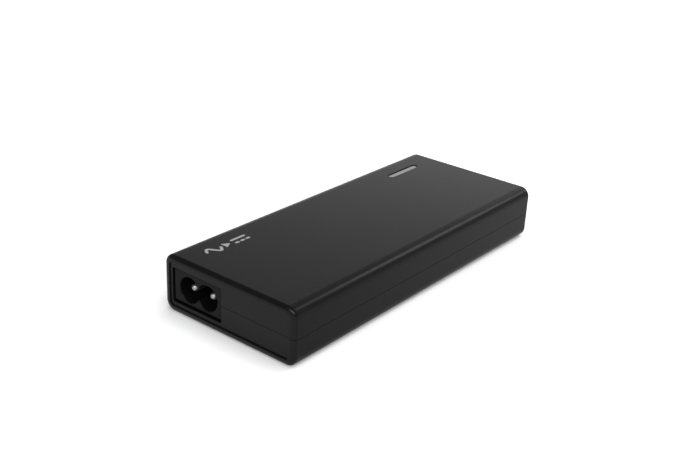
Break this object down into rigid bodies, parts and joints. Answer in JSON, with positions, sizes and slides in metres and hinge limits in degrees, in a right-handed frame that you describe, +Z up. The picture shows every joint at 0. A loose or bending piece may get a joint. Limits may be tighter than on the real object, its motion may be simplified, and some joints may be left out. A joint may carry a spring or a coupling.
{
  "type": "laptop power adapter",
  "caption": "Slim flat black laptop power adapter: two-shell case, mains inlet for a figure-8 lead at one end, round DC socket at the other, light bar on top.",
  "frame": {"origin": "centre of the underside, at the base of the object's bounding box", "axes": "+Y along the case from the mains inlet end to the DC socket end, +X across it to the right as seen from the mains inlet end, +Z up"},
  "size_m": [0.057, 0.138, 0.0205],
  "materials": {
    "case_plastic": "fine satin texture, moulded black",
    "inlet_plastic": "satin black",
    "contact_nickel": "bright nickel plate",
    "lens_plastic": "frosted translucent grey",
    "label_film": "satin film",
    "mark_ink": "flat light-grey print",
    "board_laminate": "solder-mask gloss",
    "fuse_glass": "clear",
    "ferrite": "dull sintered",
    "copper_wire": "enamelled copper",
    "winding_tape": "polyester tape",
    "aluminium_sheet": "mill finish",
    "moulding_compound": "matte epoxy",
    "capacitor_sleeve": "shrink sleeve",
    "film_box": "moulded box",
    "disc_blue": "dipped epoxy",
    "disc_green": "dipped epoxy",
    "bobbin_nylon": "natural nylon",
    "insulation_film": "polyester film",
    "silicone_pad": "soft silicone"
  },
  "bodies": {
    "root": {"top_shell": "case_plastic", "bottom_shell": "case_plastic", "inlet_housing": "inlet_plastic", "output_socket_housing": "inlet_plastic", "inlet_pin_line": "contact_nickel", "inlet_pin_neutral": "contact_nickel", "output_socket_pin": "contact_nickel", "output_socket_contact": "contact_nickel", "fuse_cap_front": "contact_nickel", "fuse_cap_rear": "contact_nickel", "indicator_lens": "lens_plastic", "indicator_led": "lens_plastic", "rating_label": "label_film", "main_board": "board_laminate", "fuse_tube": "fuse_glass", "line_choke_core": "ferrite", "output_choke_core": "ferrite", "boost_inductor_core_front": "ferrite", "boost_inductor_core_rear": "ferrite", "transformer_core_front": "ferrite", "transformer_core_rear": "ferrite", "line_choke_winding_left": "copper_wire", "line_choke_winding_right": "copper_wire", "output_choke_winding": "copper_wire", "boost_inductor_winding": "copper_wire", "transformer_winding": "winding_tape", "primary_heat_sink": "aluminium_sheet", "secondary_heat_sink": "aluminium_sheet", "lower_heat_spreader": "aluminium_sheet", "upper_heat_spreader": "aluminium_sheet", "bridge_rectifier": "moulding_compound", "boost_diode": "moulding_compound", "boost_switch": "moulding_compound", "main_switch": "moulding_compound", "controller_chip": "moulding_compound", "optocoupler": "moulding_compound", "sync_rectifier": "moulding_compound", "bulk_capacitor_left": "capacitor_sleeve", "bulk_capacitor_right": "capacitor_sleeve", "output_capacitor_1": "capacitor_sleeve", "output_capacitor_2": "capacitor_sleeve", "output_capacitor_3": "capacitor_sleeve", "x_capacitor": "film_box", "filter_capacitor": "film_box", "surge_varistor": "disc_blue", "y_capacitor": "disc_blue", "inrush_thermistor": "disc_green", "boost_inductor_bobbin": "bobbin_nylon", "transformer_bobbin": "bobbin_nylon", "lower_insulation_sheet": "insulation_film", "upper_insulation_sheet": "insulation_film", "isolation_barrier": "insulation_film", "thermal_pad": "silicone_pad"}
  },
  "joints": []
}
